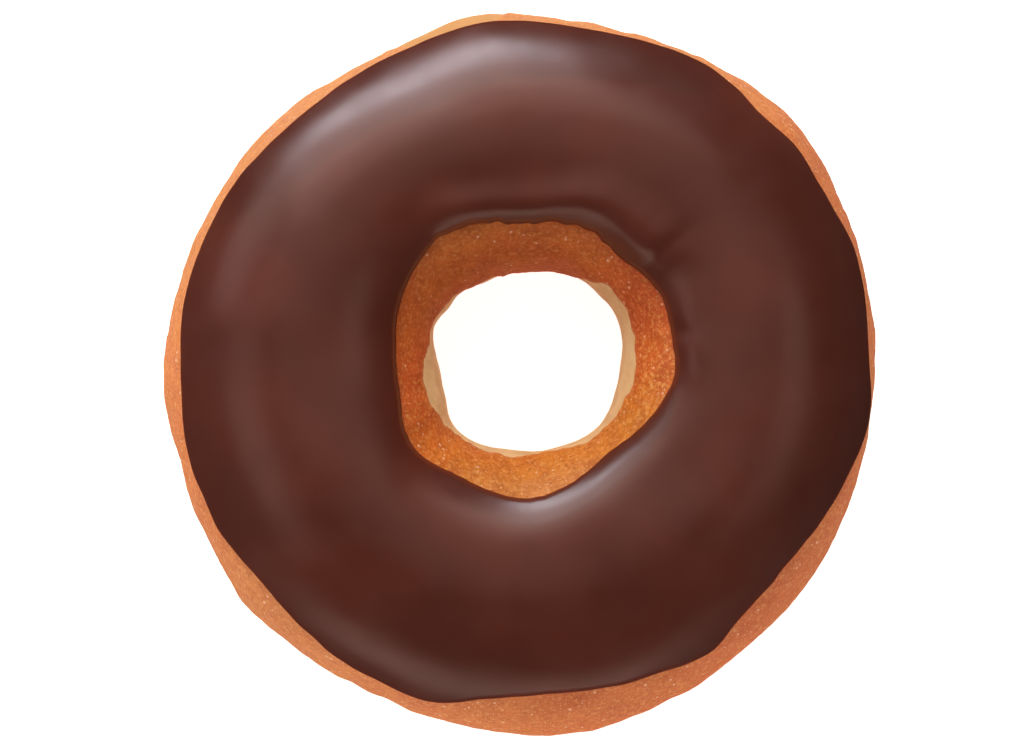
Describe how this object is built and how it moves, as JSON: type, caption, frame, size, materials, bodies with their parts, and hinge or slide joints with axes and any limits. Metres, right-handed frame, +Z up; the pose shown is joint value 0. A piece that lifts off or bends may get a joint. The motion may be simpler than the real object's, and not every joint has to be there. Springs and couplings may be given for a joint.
{
  "type": "iced ring doughnut",
  "caption": "Ring doughnut of fried yeast dough with an open hole and a coat of chocolate icing over its top, lying flat.",
  "frame": {"origin": "on the surface the doughnut rests on, at the centre of its footprint", "axes": "+Z up through the hole, towards the iced side; +X and +Y lie in the plane of the ring"},
  "size_m": [0.0936, 0.0952, 0.0324],
  "materials": {
    "fried_dough": "matte golden-brown fried crust with a fine grain, and a pale proof line round its middle",
    "chocolate_icing": "smooth dark chocolate icing, set with a satin gloss"
  },
  "bodies": {
    "root": {"dough_ring": "fried_dough", "chocolate_icing": "chocolate_icing"}
  },
  "joints": []
}
